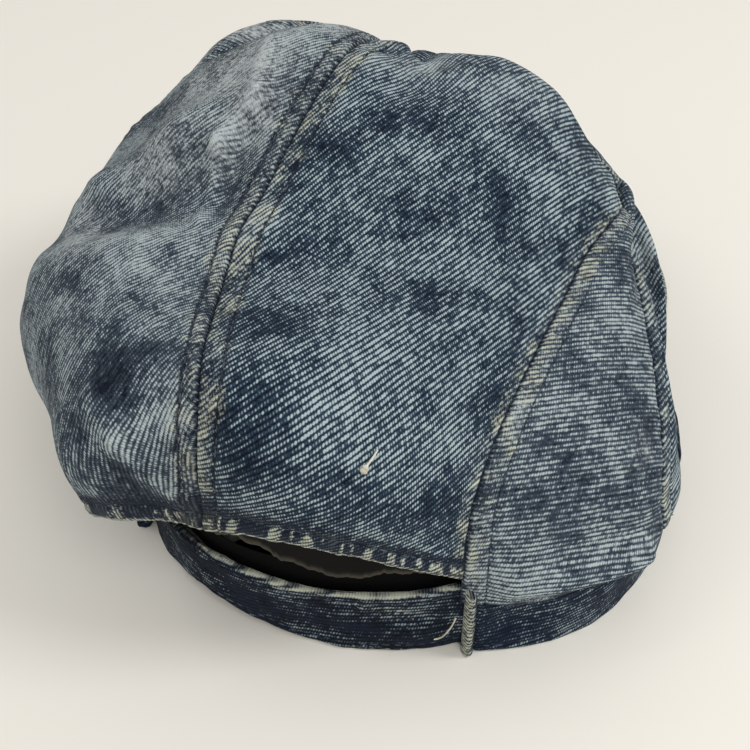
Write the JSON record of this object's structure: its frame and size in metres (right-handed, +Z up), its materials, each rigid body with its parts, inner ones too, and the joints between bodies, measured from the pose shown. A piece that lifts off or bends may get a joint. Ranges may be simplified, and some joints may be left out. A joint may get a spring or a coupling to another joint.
{
  "type": "newsboy cap",
  "caption": "Floppy newsboy cap in stone-washed denim: a slouched gored crown gathered to a covered button, a head band with rolled ends, a strap across the back opening and a short peak",
  "frame": {"origin": "middle of the head opening, on the flat surface the cap rests on", "axes": "+Z up out of the crown, -Y towards the peak at the wearer's front, +Y towards the back opening, +X towards the wearer's left"},
  "size_m": [0.1873, 0.2386, 0.1121],
  "materials": {
    "crown_denim": "washed denim twill",
    "band_denim": "darker denim twill",
    "strap_denim": "dark denim twill with worn edges"
  },
  "bodies": {
    "root": {"crown_back_left": "crown_denim", "crown_back_center": "crown_denim", "crown_back_right": "crown_denim", "crown_side_right": "crown_denim", "crown_front_right": "crown_denim", "crown_front_center": "crown_denim", "crown_front_left": "crown_denim", "crown_side_left": "crown_denim", "head_band": "band_denim", "back_strap": "strap_denim", "peak": "crown_denim", "top_button": "band_denim"}
  },
  "joints": []
}
